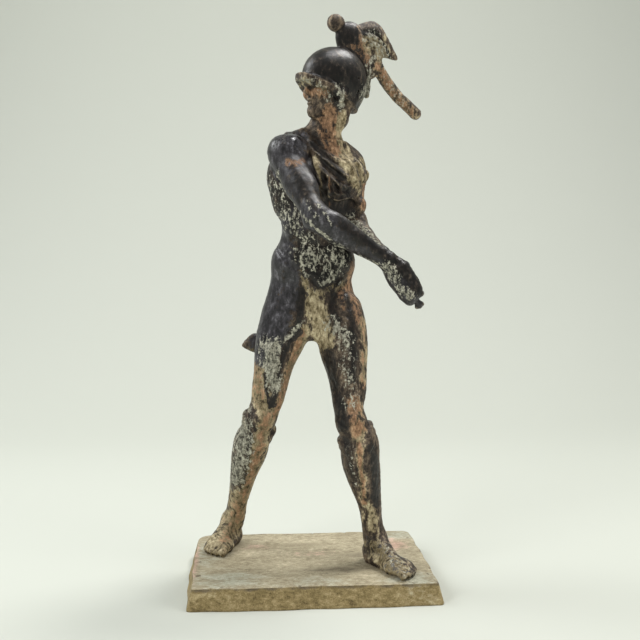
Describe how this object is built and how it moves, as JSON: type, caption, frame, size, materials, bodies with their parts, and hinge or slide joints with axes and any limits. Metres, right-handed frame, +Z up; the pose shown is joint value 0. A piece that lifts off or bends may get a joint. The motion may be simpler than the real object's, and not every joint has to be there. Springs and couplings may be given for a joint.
{
  "type": "roman soldier statuette",
  "caption": "Bronze statuette of a striding helmeted warrior in a short cloak, both fists closed on a sword hilt, standing on a rectangular plinth.",
  "frame": {"origin": "centre of the plinth's underside", "axes": "+Z up, the plinth's long side along X, the figure faces -Y and its right hand side is -X"},
  "size_m": [0.1951, 0.1488, 0.4494],
  "materials": {
    "figure_bronze_patina": "dark brown bronze with grey-green crust and bare orange patches",
    "plinth_bronze_crust": "olive brown bronze with grey-green crust"
  },
  "bodies": {
    "root": {"soldier_figure": "figure_bronze_patina", "plinth": "plinth_bronze_crust"}
  },
  "joints": []
}
